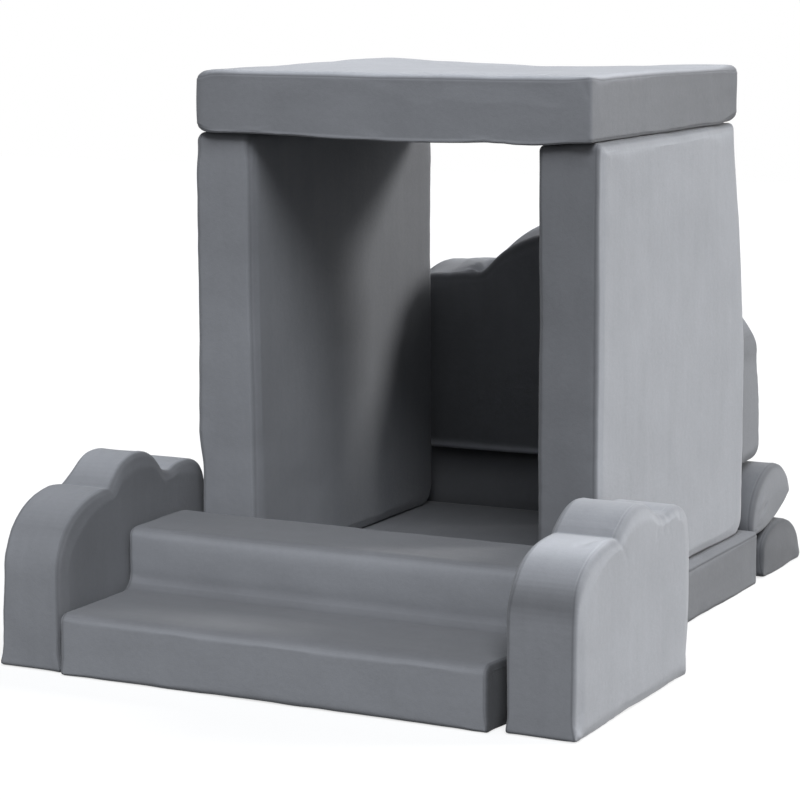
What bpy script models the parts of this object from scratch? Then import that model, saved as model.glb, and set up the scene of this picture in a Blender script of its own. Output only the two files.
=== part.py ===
"""Foam play sofa stacked as a playhouse: ten padded modules, each a zipped cover over a foam core.

Metres, +Z up. The front is towards -Y, and the origin is the middle of the ground under the part.
Distances along Y are first counted from the front of the stair, and the whole is centred at the end.
"""
import math

import bmesh
import bpy
import numpy as np
from mathutils import Matrix, Vector

# Platform: the base slab and the stair in front of it share one width
PLATFORM_W = 0.759
BASE_H = 0.098
STEP_H = 0.100
LOWER_TREAD = 0.200
UPPER_TREAD = 0.169

# House: two walls on the base, and a roof across them
WALL_T = 0.110
WALL_D = 0.664
WALL_H = 0.727
WALL_INSET = 0.017
WALL_SETBACK = 0.031
BASE_BEHIND_WALLS = 0.029
BASE_D = WALL_SETBACK + WALL_D + BASE_BEHIND_WALLS
ROOF_INSET = 0.0095
ROOF_W = PLATFORM_W - 2 * (WALL_INSET + ROOF_INSET)
ROOF_D = 0.648
ROOF_T = 0.103
ROOF_OVERHANG = 0.014

# Arms beside the stair, with three lobes: front, middle and rear
ARM_T = 0.118
ARM_L = 0.447
ARM_SETBACK = 0.010
ARM_FRONT_SIDE = 0.150
ARM_FRONT_LOBE = 0.155
ARM_FRONT_TOP = 0.270
ARM_MIDDLE_TOP = 0.310
ARM_REAR_LOBE = 0.122
ARM_REAR_TOP = 0.282
ARM_REAR_R = 0.072

# Half-round bolsters behind the base, one on the ground and one tilted over it
BOLSTER_L = 0.745
BOLSTER_W = 0.205
BOLSTER_H = 0.092
BOLSTER_SIDE = 0.012
BOLSTER_BELLY = 0.013
BOLSTER_GAP = 0.042
LEANT_SIDE = 0.050
LEANT_CREST = 0.020
UPPER_TILT = 15.0

# Backrest: a cloud with a higher middle lobe, which stands on the upper bolster
BACKREST_W = 0.672
BACKREST_T = 0.108
BACKREST_TOP = 0.412
BACKREST_SIDE_TOP = 0.332
BACKREST_SIDE_R = 0.095
BACKREST_VALLEY = 0.344
BACKREST_DIP = 0.009
BACKREST_SIDE_BOW = 0.006
BACKREST_SETBACK = 0.072
BACKREST_LEAN = 3.0

# Padding: how the covers round over the foam
EDGE_R = 0.011
CORNER_R = 0.013
NOSING_R = 0.018
SOFT_CORNER_R = 0.024
CROWN = 0.003
ROOF_CROWN = 0.006
DRAW_IN = 0.002
TREAD_PUFF = 0.002
PLATEAU = 0.80
HEART_UP = 0.40
BELT = 0.60
COVER_T = 0.002

# Zips: coil zips with a slider that has no pull tab
ZIP_SLOT_W = 0.0120
TAPE_T = 0.0012
COIL_W = 0.0060
COIL_H = 0.0012
COIL_TOP_W = 0.0048
COIL_GROOVE_W = 0.0012
COIL_START = 0.006
SLIDER_L = 0.0110
SLIDER_WALL = 0.0009
SLIDER_TAIL_W = 0.0079
BAIL_H = 0.0011
BAIL_START = 0.0027
BAIL_END = 0.0077
BAIL_SLOPE = 0.0011
ZIP_MARGIN = 0.060
SHORT_ZIP_MARGIN = 0.014
BACKREST_ZIP_UP = 0.090
BOLSTER_ZIP_FACING = 38.0

# Clearances
TOUCH = 0.0003
ARM_GAP = 0.0005

# Steps of the round stretches and of a drawn-in side, and the angle past which an edge stays crisp
CORNER_STEPS = 2
ROLL_STEPS = 2
LOBE_STEPS = 5
SIDE_BOW_STEPS = 3
DRAW_STEPS = 4
CRISP_ANGLE = 50.0
SAME_POINT = 1e-6
NO_LENGTH = 1e-9

# Rounds in which the upper bolster finds its rest between two supports
SETTLE_ROUNDS = 12

# Local axes of a module: outline right, outline up and thickness
ALONG_X = ((0, 1, 0), (0, 0, 1), (1, 0, 0))
ALONG_Y = ((1, 0, 0), (0, 0, 1), (0, -1, 0))
ALONG_Z = ((1, 0, 0), (0, 1, 0), (0, 0, 1))

# Looks: colour, roughness and metallic value
GREY_SUEDE = ((0.17, 0.18, 0.20, 1.0), 0.85, 0.0)
CREAM_FOAM = ((0.80, 0.76, 0.62, 1.0), 0.95, 0.0)
GREY_ZIP = ((0.09, 0.095, 0.105, 1.0), 0.60, 0.0)
GREY_METAL = ((0.30, 0.31, 0.33, 1.0), 0.40, 0.9)


def arc(center, radii, start, end, steps):
    """Points of an ellipse from one angle to another, in degrees."""
    angles = np.radians(np.linspace(start, end, steps + 1))
    return np.column_stack((center[0] + radii[0] * np.cos(angles), center[1] + radii[1] * np.sin(angles)))


def bow(start, end, rise, steps):
    """Circular arc from start to end that stands out by rise on the right of its way."""
    start, end = np.array(start), np.array(end)
    half = np.linalg.norm(end - start) / 2
    radius = (half**2 + rise**2) / (2 * rise)
    along = (end - start) / (2 * half)
    out = np.array((along[1], -along[0]))
    spread = math.asin(min(1.0, half / radius))
    angles = np.linspace(-spread, spread, steps + 1)[:, None]
    middle = (start + end) / 2 + out * (rise - radius)
    return middle + radius * (np.sin(angles) * along + np.cos(angles) * out)


def fillet(before, corner, after, radius, steps):
    """Round a corner of a polyline with an arc that touches both of its sides."""
    before, corner, after = (np.array(p, float) for p in (before, corner, after))
    a = (before - corner) / np.linalg.norm(before - corner)
    b = (after - corner) / np.linalg.norm(after - corner)
    half = math.acos(float(a @ b)) / 2
    middle = corner + (a + b) / np.linalg.norm(a + b) * radius / math.sin(half)
    first = corner + a * radius / math.tan(half) - middle
    last = corner + b * radius / math.tan(half) - middle
    share = np.linspace(0, 1, steps + 1)[:, None]
    turn = math.pi - 2 * half
    return middle + (np.sin((1 - share) * turn) * first + np.sin(share * turn) * last) / math.sin(turn)


def closed(*stretches):
    """Join stretches of points into one outline, counter-clockwise, with no point twice."""
    points = np.vstack([np.atleast_2d(s) for s in stretches])
    apart = np.linalg.norm(points - np.roll(points, 1, axis=0), axis=1)
    return points[apart > SAME_POINT]


def inset(points, distance):
    """Move an outline inwards with its sides kept parallel."""
    def outward(edge):
        return np.column_stack((edge[:, 1], -edge[:, 0])) / np.linalg.norm(edge, axis=1)[:, None]
    back = outward(points - np.roll(points, 1, axis=0))
    ahead = outward(np.roll(points, -1, axis=0) - points)
    mitre = (back + ahead) / (1 + np.sum(back * ahead, axis=1))[:, None]
    return points - distance * mitre


def drawn_in(points, distance, puff):
    """Inset outline whose sides lose their puff as well, but not the side that stands on the ground."""
    moved = inset(points, distance + puff)
    moved[np.isclose(points[:, 1], 0), 1] -= puff
    return moved


def slab_outline(width, height, draw):
    """Rectangle with round corners, its sides drawn in between them: bottom, right, top and left."""
    x, y = width / 2, height / 2
    corners = np.array(((-x, -y), (x, -y), (x, y), (-x, y)))
    share = np.linspace(0, 1, DRAW_STEPS + 1)[1:-1, None]
    stretches = []
    for k in range(4):
        before, corner, after = corners[k - 1], corners[k], corners[(k + 1) % 4]
        along = (after - corner) / np.linalg.norm(after - corner)
        inward = np.array((-along[1], along[0]))
        stretches.append(fillet(before, corner, after, CORNER_R, CORNER_STEPS))
        if draw[k]:
            side = corner + (after - corner) * share
            stretches.append(side + inward * draw[k] * 4 * share * (1 - share))
    return closed(*stretches)


def stair_outline():
    """Two steps seen from the side, with soft nosings and a soft inner corner."""
    depth = LOWER_TREAD + UPPER_TREAD
    p = [
        (0, 0), (depth, 0), (depth, 2 * STEP_H),
        (LOWER_TREAD, 2 * STEP_H), (LOWER_TREAD, STEP_H), (0, STEP_H)]
    return closed(*[fillet(p[k - 1], p[k], p[(k + 1) % 6], NOSING_R, CORNER_STEPS) for k in range(6)])


def arm_outline():
    """Cloud seen from the side: a quarter-round front lobe, a bowed middle lobe and a round rear lobe."""
    rear_c = np.array((ARM_L - ARM_REAR_R, ARM_REAR_TOP - ARM_REAR_R))
    rear_reach = ARM_REAR_LOBE - ARM_REAR_R
    rear_end = 90 + math.degrees(math.asin(rear_reach / ARM_REAR_R))
    rear = arc(rear_c, (ARM_REAR_R, ARM_REAR_R), 0, rear_end, LOBE_STEPS)
    valley = np.array((ARM_FRONT_LOBE, ARM_FRONT_TOP))
    rise = ARM_MIDDLE_TOP - (valley[1] + rear[-1][1]) / 2
    middle = bow(rear[-1], valley, rise, LOBE_STEPS)
    front_radii = (ARM_FRONT_LOBE, ARM_FRONT_TOP - ARM_FRONT_SIDE)
    front = arc((ARM_FRONT_LOBE, ARM_FRONT_SIDE), front_radii, 90, 180, LOBE_STEPS)
    first = fillet(front[-1], (0, 0), (ARM_L, 0), CORNER_R, CORNER_STEPS)
    last = fillet((0, 0), (ARM_L, 0), rear[0], CORNER_R, CORNER_STEPS)
    return closed(first, last, rear, middle, front)


def backrest_outline():
    """Cloud seen from the front: two round-shouldered side lobes and a higher bowed middle lobe."""
    shoulder = np.array((BACKREST_W / 2 - BACKREST_SIDE_R, BACKREST_SIDE_TOP))
    valley = np.array((BACKREST_VALLEY / 2, BACKREST_SIDE_TOP - BACKREST_DIP))
    corner = arc(shoulder - (0, BACKREST_SIDE_R), (BACKREST_SIDE_R, BACKREST_SIDE_R), 0, 90, LOBE_STEPS)
    right = closed(corner, bow(shoulder, valley, BACKREST_SIDE_BOW, SIDE_BOW_STEPS))
    left = right[::-1] * (-1, 1)
    middle = bow(valley, left[0], BACKREST_TOP - valley[1], LOBE_STEPS + 1)
    x = BACKREST_W / 2
    last = fillet((-x, 0), (x, 0), right[0], SOFT_CORNER_R, CORNER_STEPS)
    first = last[::-1] * (-1, 1)
    return closed(first, last, right, middle, left)


def bolster_outline(front_side, crest, belly):
    """Half-round seen from its end, flat side down; belly is how far that side swells down."""
    x = BOLSTER_W / 2
    rear = arc((-crest, BOLSTER_SIDE), (x + crest, BOLSTER_H - BOLSTER_SIDE), 0, 90, LOBE_STEPS)
    front = arc((-crest, front_side), (x - crest, BOLSTER_H - front_side), 90, 180, LOBE_STEPS)
    if belly:
        foot = bow((-x + BOLSTER_SIDE, 0), (x - BOLSTER_SIDE, 0), belly, LOBE_STEPS)
    else:
        foot = np.array(((-x + BOLSTER_SIDE, 0), (x - BOLSTER_SIDE, 0)))
    return closed(foot, rear, front)


def padded_rings(outline, thickness, roll, crown, heart, puff):
    """Cross-sections of a padded block from its low face to its high face, as (points, height).

    The sides roll over by a quarter round, each face then rises by its crown to a flat plateau,
    and a side wider than a panel swells by puff between its ends.
    """
    half = thickness / 2

    def cap(rise):
        rings = []
        for angle in np.linspace(0, math.pi / 2, ROLL_STEPS + 1):
            height = half - rise - roll * (1 - math.sin(angle))
            rings.append((drawn_in(outline, roll * (1 - math.cos(angle)), puff), height))
        if rise:
            rim = rings[-1][0]
            for step in (0.5, 1.0):
                share = 1 - (1 - PLATEAU) * step
                rings.append((heart + (rim - heart) * share, half - rise * (1 - step)**2))
        return rings

    low = [(points, -height) for points, height in cap(crown[0])]
    high = cap(crown[1])
    belt = []
    if puff:
        reach = half - max(crown) - roll
        for share in (-BELT, 0.0, BELT):
            belt.append((drawn_in(outline, 0, puff * share**2), reach * share))
    return low[::-1] + belt + high


def core_rings(outline, thickness, roll, crown, puff):
    """Cross-sections of the cut foam block inside a cover, with its long edges chamfered."""
    side = drawn_in(outline, COVER_T + TOUCH, puff)
    face = drawn_in(outline, roll, puff)
    half = thickness / 2
    top = half - crown[1] - COVER_T - TOUCH
    bottom = half - crown[0] - COVER_T - TOUCH
    return [(face, -bottom), (side, crown[0] + roll - half), (side, half - crown[1] - roll), (face, top)]


def loft(name, rings, axes, shade=True):
    """Mesh with a face across each end ring and quads between rings of equal point counts."""
    right, up, out = (Vector(a) for a in axes)
    bm = bmesh.new()
    rows = []
    for points, height in rings:
        rows.append([bm.verts.new(right * x + up * y + out * height) for x, y in points.tolist()])
    bm.faces.new(rows[0][::-1])
    bm.faces.new(rows[-1])
    count = len(rows[0])
    for low, high in zip(rows, rows[1:]):
        for k in range(count):
            n = (k + 1) % count
            bm.faces.new((low[k], low[n], high[n], high[k]))
    mesh = bpy.data.meshes.new(name)
    bm.to_mesh(mesh)
    bm.free()
    if shade:
        mesh.shade_smooth()
        mesh.set_sharp_from_angle(angle=math.radians(CRISP_ANGLE))
    return mesh


def make_material(name, color, roughness, metallic):
    """Plain principled material of one sub-part."""
    material = bpy.data.materials.new(name)
    material.use_nodes = True
    shader = material.node_tree.nodes["Principled BSDF"]
    shader.inputs["Base Color"].default_value = color
    shader.inputs["Roughness"].default_value = roughness
    shader.inputs["Metallic"].default_value = metallic
    return material


def add_piece(name, mesh, parent, look, place=None):
    """Put one named sub-part into the scene under its module, with a material of its own."""
    piece = bpy.data.objects.new(name, mesh)
    bpy.context.scene.collection.objects.link(piece)
    piece.parent = parent
    if place is not None:
        piece.matrix_basis = place
    mesh.materials.append(make_material(name, *look))
    return piece


def run_along(profile, stations):
    """Carry a profile along the first axis: each station is (distance, profile changed for it)."""
    return [(change(profile), distance) for distance, change in stations]


def zip_tape_rings(length):
    """Zip tape with its closed coil down the middle; the coil stops short of the tape's ends."""
    tape, coil = ZIP_SLOT_W / 2 - TOUCH, COIL_W / 2
    crest, groove = COIL_TOP_W / 2, COIL_GROOVE_W / 2
    base = [(tape, 0), (coil, 0), (crest, COIL_H), (groove, COIL_H), (0, COIL_H / 2)]
    left = [(-x, y) for x, y in base[-2::-1]]
    profile = np.array([(-tape, -TAPE_T), (tape, -TAPE_T)] + base + left)
    end = length / 2 - TOUCH

    def bare(points):
        return np.column_stack((points[:, 0], np.minimum(points[:, 1], 0)))

    def whole(points):
        return points
    stops = [(-end, bare), (COIL_START - end, bare), (2 * COIL_START - end, whole)]
    mirrored = [(-distance, change) for distance, change in stops[::-1]]
    return run_along(profile, stops + mirrored)


def slider_rings():
    """Zip slider: a channel that straddles the coil, with a low bail and a narrower tail."""
    inner = COIL_W / 2 + TOUCH
    outer = inner + SLIDER_WALL
    foot, roof = TOUCH, COIL_H + TOUCH
    top = roof + SLIDER_WALL
    profile = np.array([
        (inner, foot), (outer, foot), (outer, top), (-outer, top),
        (-outer, foot), (-inner, foot), (-inner, roof), (inner, roof)])
    on_top = profile[:, 1] == top

    def shaped(rise, half_width):
        def change(points):
            x = points[:, 0].copy()
            side = np.isclose(np.abs(x), outer)
            x[side] = np.sign(x[side]) * half_width
            return np.column_stack((x, points[:, 1] + rise * on_top))
        return change
    nose = -SLIDER_L / 2
    stations = [
        (nose, shaped(0, outer)),
        (nose + BAIL_START, shaped(BAIL_H, outer)),
        (nose + BAIL_END, shaped(BAIL_H, outer)),
        (nose + BAIL_END + BAIL_SLOPE, shaped(0, outer)),
        (-nose, shaped(0, SLIDER_TAIL_W / 2))]
    return run_along(profile, stations)


def seat_matrix(point, along, normal):
    """Frame on a cover's surface: its first axis runs along the zip and its third points out."""
    along, normal = Vector(along), Vector(normal)
    across = normal.cross(along)
    frame = Matrix((along, across, normal)).transposed().to_4x4()
    frame.translation = Vector(point)
    return frame


def add_zip(module, name, cover, length, seat):
    """Cut the zip's slot through the cover, and fill it with the tape, its coil and the slider."""
    half_w, deep = ZIP_SLOT_W / 2, COVER_T + TOUCH
    box = np.array(((-half_w, -deep), (half_w, -deep), (half_w, deep), (-half_w, deep)))
    cut_mesh = loft(name + "_slot", [(box, -length / 2), (box, length / 2)], ALONG_X, False)
    cutter = bpy.data.objects.new(name + "_slot", cut_mesh)
    bpy.context.scene.collection.objects.link(cutter)
    cutter.parent = module
    cutter.matrix_basis = seat
    cutter.hide_render = True
    cutter.display_type = "WIRE"
    slot = cover.modifiers.new("zip slot", "BOOLEAN")
    slot.operation = "DIFFERENCE"
    slot.solver = "EXACT"
    slot.object = cutter
    sunk = seat @ Matrix.Translation((0, 0, -TOUCH))
    tape = loft(name + "_zip", zip_tape_rings(length), ALONG_X, False)
    add_piece(name + "_zip", tape, module, GREY_ZIP, sunk)
    parked = sunk @ Matrix.Translation((2 * COIL_START + SLIDER_L / 2 - length / 2, 0, 0))
    slider = loft(name + "_zip_slider", slider_rings(), ALONG_X, False)
    add_piece(name + "_zip_slider", slider, module, GREY_METAL, parked)


def add_module(name, outline, thickness, axes, place, crown=(CROWN, CROWN), heart=None, puff=0.0):
    """Cover and foam core of one module, under an empty that stands for the module's own frame."""
    module = bpy.data.objects.new(name, None)
    bpy.context.scene.collection.objects.link(module)
    module.matrix_world = place
    middle = outline.mean(axis=0) if heart is None else np.array(heart)
    skin = loft(name + "_cover", padded_rings(outline, thickness, EDGE_R, crown, middle, puff), axes)
    cover = add_piece(name + "_cover", skin, module, GREY_SUEDE)
    wall = cover.modifiers.new("fabric", "SOLIDIFY")
    wall.thickness = COVER_T
    wall.offset = -1.0
    wall.use_even_offset = True
    block = loft(name + "_foam_core", core_rings(outline, thickness, EDGE_R, crown, puff), axes)
    add_piece(name + "_foam_core", block, module, CREAM_FOAM)
    return module, cover


def facet_towards(outline, direction):
    """Middle and outward normal of the outline's facet that faces a direction, given as an angle."""
    edge = np.roll(outline, -1, axis=0) - outline
    normals = np.column_stack((edge[:, 1], -edge[:, 0])) / np.linalg.norm(edge, axis=1)[:, None]
    wanted = np.array((math.cos(math.radians(direction)), math.sin(math.radians(direction))))
    k = int(np.argmax(normals @ wanted))
    return outline[k] + edge[k] / 2, normals[k]


def turned(outline, degrees):
    """Outline turned about its origin."""
    c, s = math.cos(math.radians(degrees)), math.sin(math.radians(degrees))
    return outline @ np.array(((c, s), (-s, c)))


def height_over(points, wanted, pick):
    """Top or underside of an outline at each wanted place across it, outside of it as nan."""
    edges = zip(points, np.roll(points, -1, axis=0))
    best = np.full(len(wanted), np.nan)
    for start, end in edges:
        low, high = (start, end) if start[0] <= end[0] else (end, start)
        run = high[0] - low[0]
        inside = (wanted >= low[0] - NO_LENGTH) & (wanted <= high[0] + NO_LENGTH) & (run > NO_LENGTH)
        share = (wanted - low[0]) / max(run, NO_LENGTH)
        height = np.where(inside, low[1] + share * (high[1] - low[1]), np.nan)
        best = pick(best, height)
    return best


def rest_height(above, below):
    """How high an outline is lifted to lie a touch's clearance over the outline below it."""
    places = np.concatenate((above[:, 0], below[:, 0]))
    gap = height_over(below, places, np.fmax) - height_over(above, places, np.fmin)
    return float(np.nanmax(gap)) + TOUCH


def settle_behind(leaning, base_back, lower):
    """Place where the tilted bolster leans on the rear edge of the base and on the bolster below."""
    rim = BASE_H - CROWN
    top_edge = fillet((base_back, 0), (base_back, rim), (base_back - BASE_D, rim), EDGE_R, ROLL_STEPS)
    base_side = closed((base_back, 0), top_edge, (base_back - BASE_D / 2, rim))[:, ::-1]
    y, z = base_back - leaning[:, 0].min(), BASE_H
    for _ in range(SETTLE_ROUNDS):
        z = rest_height(leaning + (y, 0), lower)
        y = rest_height((leaning + (0, z))[:, ::-1], base_side)
    return y, z


def across_x(y, z, degrees=0.0):
    """Place of a module in the middle of the width, turned about the X axis."""
    return Matrix.Translation((0, y, z)) @ Matrix.Rotation(math.radians(degrees), 4, "X")


def build():
    """Make every module, stacked from the ground up, and centre the whole on its footprint."""
    stair_d = LOWER_TREAD + UPPER_TREAD
    base_front = stair_d + TOUCH
    base_back = base_front + BASE_D
    lower_y = base_back + BOLSTER_GAP + BOLSTER_W / 2
    middle_y = (lower_y + BOLSTER_W / 2) / 2

    stair_shape = stair_outline()
    heart = (stair_d - UPPER_TREAD / 2, STEP_H / 2)
    stair, cover = add_module(
        "stair", stair_shape, PLATFORM_W, ALONG_X, across_x(-middle_y, 0), heart=heart, puff=TREAD_PUFF)
    back = (0, stair_d, (BASE_H + 2 * STEP_H) / 2)
    add_zip(stair, "stair", cover, PLATFORM_W - 2 * ZIP_MARGIN, seat_matrix(back, (1, 0, 0), (0, 1, 0)))

    base_shape = slab_outline(PLATFORM_W, BASE_D, (0, DRAW_IN, 0, DRAW_IN))
    base_place = across_x(base_front + BASE_D / 2 - middle_y, BASE_H / 2)
    base, cover = add_module("base", base_shape, BASE_H, ALONG_Z, base_place, crown=(0, CROWN))
    rear = seat_matrix((0, BASE_D / 2, 0), (1, 0, 0), (0, 1, 0))
    add_zip(base, "base", cover, PLATFORM_W - 2 * ZIP_MARGIN, rear)

    wall_front = base_front + WALL_SETBACK
    wall_x = PLATFORM_W / 2 - WALL_INSET - WALL_T / 2
    wall_z = BASE_H + TOUCH + WALL_H / 2
    wall_shape = slab_outline(WALL_D, WALL_H, (0, 0, 0, DRAW_IN))
    for name, side in (("left_wall", -1), ("right_wall", 1)):
        place = Matrix.Translation((side * wall_x, wall_front + WALL_D / 2 - middle_y, wall_z))
        wall, cover = add_module(name, wall_shape, WALL_T, ALONG_X, place)
        rear = seat_matrix((0, WALL_D / 2, 0), (0, 0, 1), (0, 1, 0))
        add_zip(wall, name, cover, WALL_H - 2 * ZIP_MARGIN, rear)

    roof_shape = slab_outline(ROOF_W, ROOF_D, (DRAW_IN, DRAW_IN, 0, DRAW_IN))
    roof_z = BASE_H + WALL_H + 2 * TOUCH + ROOF_T / 2
    roof_place = across_x(wall_front - ROOF_OVERHANG + ROOF_D / 2 - middle_y, roof_z)
    roof, cover = add_module("roof", roof_shape, ROOF_T, ALONG_Z, roof_place, crown=(0, ROOF_CROWN))
    rear = seat_matrix((0, ROOF_D / 2, 0), (1, 0, 0), (0, 1, 0))
    add_zip(roof, "roof", cover, ROOF_W - 2 * ZIP_MARGIN, rear)

    arm_shape = arm_outline()
    arm_x = PLATFORM_W / 2 + ARM_GAP + ARM_T / 2
    rear_side = ARM_REAR_TOP - ARM_REAR_R
    for name, side in (("left_arm", -1), ("right_arm", 1)):
        place = Matrix.Translation((side * arm_x, ARM_SETBACK - middle_y, 0))
        heart = (ARM_L / 2, ARM_MIDDLE_TOP * HEART_UP)
        arm, cover = add_module(name, arm_shape, ARM_T, ALONG_X, place, heart=heart)
        rear = seat_matrix((0, ARM_L, (rear_side + CORNER_R) / 2), (0, 0, 1), (0, 1, 0))
        add_zip(arm, name, cover, rear_side - CORNER_R - 2 * SHORT_ZIP_MARGIN, rear)

    lower_shape = bolster_outline(LEANT_SIDE, LEANT_CREST, 0)
    heart = (0, BOLSTER_H * HEART_UP)
    place = across_x(lower_y - middle_y, 0)
    lower, cover = add_module("lower_bolster", lower_shape, BOLSTER_L, ALONG_X, place, heart=heart)
    point, normal = facet_towards(lower_shape, BOLSTER_ZIP_FACING)
    seat = seat_matrix((0, *point), (1, 0, 0), (0, *normal))
    add_zip(lower, "lower_bolster", cover, BOLSTER_L - 2 * ZIP_MARGIN, seat)

    upper_shape = bolster_outline(BOLSTER_SIDE, 0, BOLSTER_BELLY)
    leaning = turned(upper_shape, UPPER_TILT)
    upper_y, upper_z = settle_behind(leaning, base_back, lower_shape + (lower_y, 0))
    place = across_x(upper_y - middle_y, upper_z, UPPER_TILT)
    upper, cover = add_module("upper_bolster", upper_shape, BOLSTER_L, ALONG_X, place, heart=heart)
    point, normal = facet_towards(upper_shape, BOLSTER_ZIP_FACING)
    seat = seat_matrix((0, *point), (1, 0, 0), (0, *normal))
    add_zip(upper, "upper_bolster", cover, BOLSTER_L - 2 * ZIP_MARGIN, seat)

    backrest_y = base_back + BACKREST_SETBACK
    half_t = BACKREST_T / 2
    panel = np.array(((-half_t, 0), (half_t, 0), (half_t, BACKREST_TOP), (-half_t, BACKREST_TOP)))
    standing = turned(panel, BACKREST_LEAN) + (backrest_y, 0)
    backrest_z = rest_height(standing, leaning + (upper_y, upper_z))
    place = across_x(backrest_y - middle_y, backrest_z, BACKREST_LEAN)
    heart = (0, BACKREST_TOP * HEART_UP)
    backrest, cover = add_module("backrest", backrest_outline(), BACKREST_T, ALONG_Y, place, heart=heart)
    zip_l = PLATEAU * BACKREST_W - 2 * ZIP_MARGIN
    rear = seat_matrix((0, BACKREST_T / 2, BACKREST_ZIP_UP), (1, 0, 0), (0, 1, 0))
    add_zip(backrest, "backrest", cover, zip_l, rear)


for old in list(bpy.data.objects):
    bpy.data.objects.remove(old, do_unlink=True)
build()
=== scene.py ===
"""Looks of the foam play sofa stacked as a playhouse: ten padded modules in brushed grey suede.

Metres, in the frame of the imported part: +Z up, the stair at the front towards -Y. Each module is
worked out in its own local axes, outline right (a), outline up (b) and thickness (t), puffed by a
cloth simulation, given its seams and folds, and then placed where its CAD cover is.
"""
import math

import bpy
import numpy as np
from mathutils import Matrix, Vector


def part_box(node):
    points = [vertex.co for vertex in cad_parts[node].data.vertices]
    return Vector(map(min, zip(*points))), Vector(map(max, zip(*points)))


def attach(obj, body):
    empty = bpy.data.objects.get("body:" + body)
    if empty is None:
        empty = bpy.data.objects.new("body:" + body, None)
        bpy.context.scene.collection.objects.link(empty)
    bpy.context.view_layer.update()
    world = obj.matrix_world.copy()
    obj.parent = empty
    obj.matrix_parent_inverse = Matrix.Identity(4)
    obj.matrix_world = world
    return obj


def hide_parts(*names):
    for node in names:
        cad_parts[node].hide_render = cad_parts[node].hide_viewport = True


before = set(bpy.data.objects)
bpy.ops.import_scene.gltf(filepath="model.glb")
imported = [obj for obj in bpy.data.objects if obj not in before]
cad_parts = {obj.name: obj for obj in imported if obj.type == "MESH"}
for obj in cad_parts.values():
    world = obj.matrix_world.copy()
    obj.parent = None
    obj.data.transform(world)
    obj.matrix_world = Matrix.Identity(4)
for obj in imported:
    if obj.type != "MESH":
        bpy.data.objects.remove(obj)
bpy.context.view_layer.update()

# Sizes of the modules, as in the part
PLATFORM_W, BASE_H, STEP_H = 0.759, 0.098, 0.100
LOWER_TREAD, UPPER_TREAD = 0.200, 0.169
BASE_D, WALL_T, WALL_D, WALL_H = 0.724, 0.110, 0.664, 0.727
ROOF_W, ROOF_D, ROOF_T = 0.706, 0.648, 0.103
ARM_T, ARM_L, ARM_FRONT_SIDE, ARM_FRONT_LOBE, ARM_FRONT_TOP = 0.118, 0.447, 0.150, 0.155, 0.270
ARM_MIDDLE_TOP, ARM_REAR_LOBE, ARM_REAR_TOP, ARM_REAR_R = 0.310, 0.122, 0.282, 0.072
BOLSTER_L, BOLSTER_W, BOLSTER_H, BOLSTER_SIDE, BOLSTER_BELLY = 0.745, 0.205, 0.092, 0.012, 0.013
LEANT_SIDE, LEANT_CREST, UPPER_TILT = 0.050, 0.020, 15.0
BACKREST_W, BACKREST_T, BACKREST_TOP, BACKREST_SIDE_TOP = 0.672, 0.108, 0.412, 0.332
BACKREST_SIDE_R, BACKREST_VALLEY, BACKREST_SIDE_BOW = 0.095, 0.344, 0.004
BACKREST_LEAN, BACKREST_ZIP_UP = 3.0, 0.090
CORNER_R, FOOT_R, NOSING_R, INNER_R, SOFT_CORNER_R = 0.011, 0.007, 0.016, 0.026, 0.022
STAIR_D = LOWER_TREAD + UPPER_TREAD

# Corners that are softer or sharper than the part's; the roof's are its front left, front right and so on
BACKREST_FOOT_R, WALL_FOOT_R, WALL_TOP_R = 0.036, 0.042, 0.016
ROOF_CORNERS = (0.018, 0.0065, 0.021, 0.018)

# Padding: the usual roll at the edges, where the seam sits on it, and the spacing and rows of the cage
ROLL, SEAM_TURN = 0.0085, math.radians(14)
CAGE, CAGE_BEND, CROWN_REACH = 0.012, 0.030, 0.055
SEAM_ROWS = (0.0082, 0.0055, 0.0030, 0.0012, 0.0, -0.0012)
CAP_ROWS = (0.0035, 0.0080)

# Surface: heights of the seam's groove and lips, puckers, slack and bulge, how far apart the noise of
# the two seams is taken, and the painted shade on the roll and on the shoulder above it
GROOVE, LIP, PUCKER, SLACK, BULGE, SEAM_APART = 0.0005, 0.00014, 0.00050, 0.0008, 0.0007, 7.3
ROLL_SHADE, SHOULDER_SHADE = 0.28, 0.17

# Zips: half widths of the opening in the cover and of its stitched placket, how deep the tape lies, the
# length beyond its ends, how far the ends stay from the module's, and how far up a bolster's faces
ZIP_HALF, PLACKET_IN, PLACKET_OUT = 0.0062, 0.0047, 0.0098
ZIP_DIP, ZIP_END = 0.0021, 0.004
MARGIN, SHORT_MARGIN = 0.060, 0.014
ZIP_FACES = math.radians(38)
ROUND, OVER, FACE = "round the strip", "across the strip", "on a cap"

# Cloth simulation: frames, largest move and settings
CLOTH_FRAMES, CLOTH_CAP = 20, 0.0035
CLOTH = {"quality": 5, "use_pressure": True, "uniform_pressure_force": 0.25, "tension_stiffness": 40,
         "compression_stiffness": 40, "bending_stiffness": 4}

# Stage: half width of the floor, and the camera's sensor in millimetres
FLOOR_REACH, SENSOR = 9.0, 36.0

# Directions in local axes, and the local axes in the frame of modules that run along X, Y and Z
UP, RIGHT, OUT = (0, 1, 0), (1, 0, 0), (0, 0, 1)
ALONG_X = np.array(((0, 1, 0), (0, 0, 1), (1, 0, 0)), float)
ALONG_Y = np.array(((1, 0, 0), (0, 0, 1), (0, -1, 0)), float)
ALONG_Z = np.eye(3)


# Outlines

def smooth(x, start, end):
    """3 s^2 - 2 s^3, where s goes from 0 at start to 1 at end and stays there; start may be the greater."""
    share = np.clip((np.asarray(x, float) - start) / (end - start), 0, 1)
    return share * share * (3 - 2 * share)


def bell(x, width):
    """exp(-(x / width)^2)."""
    return np.exp(-(x / width)**2)


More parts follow.
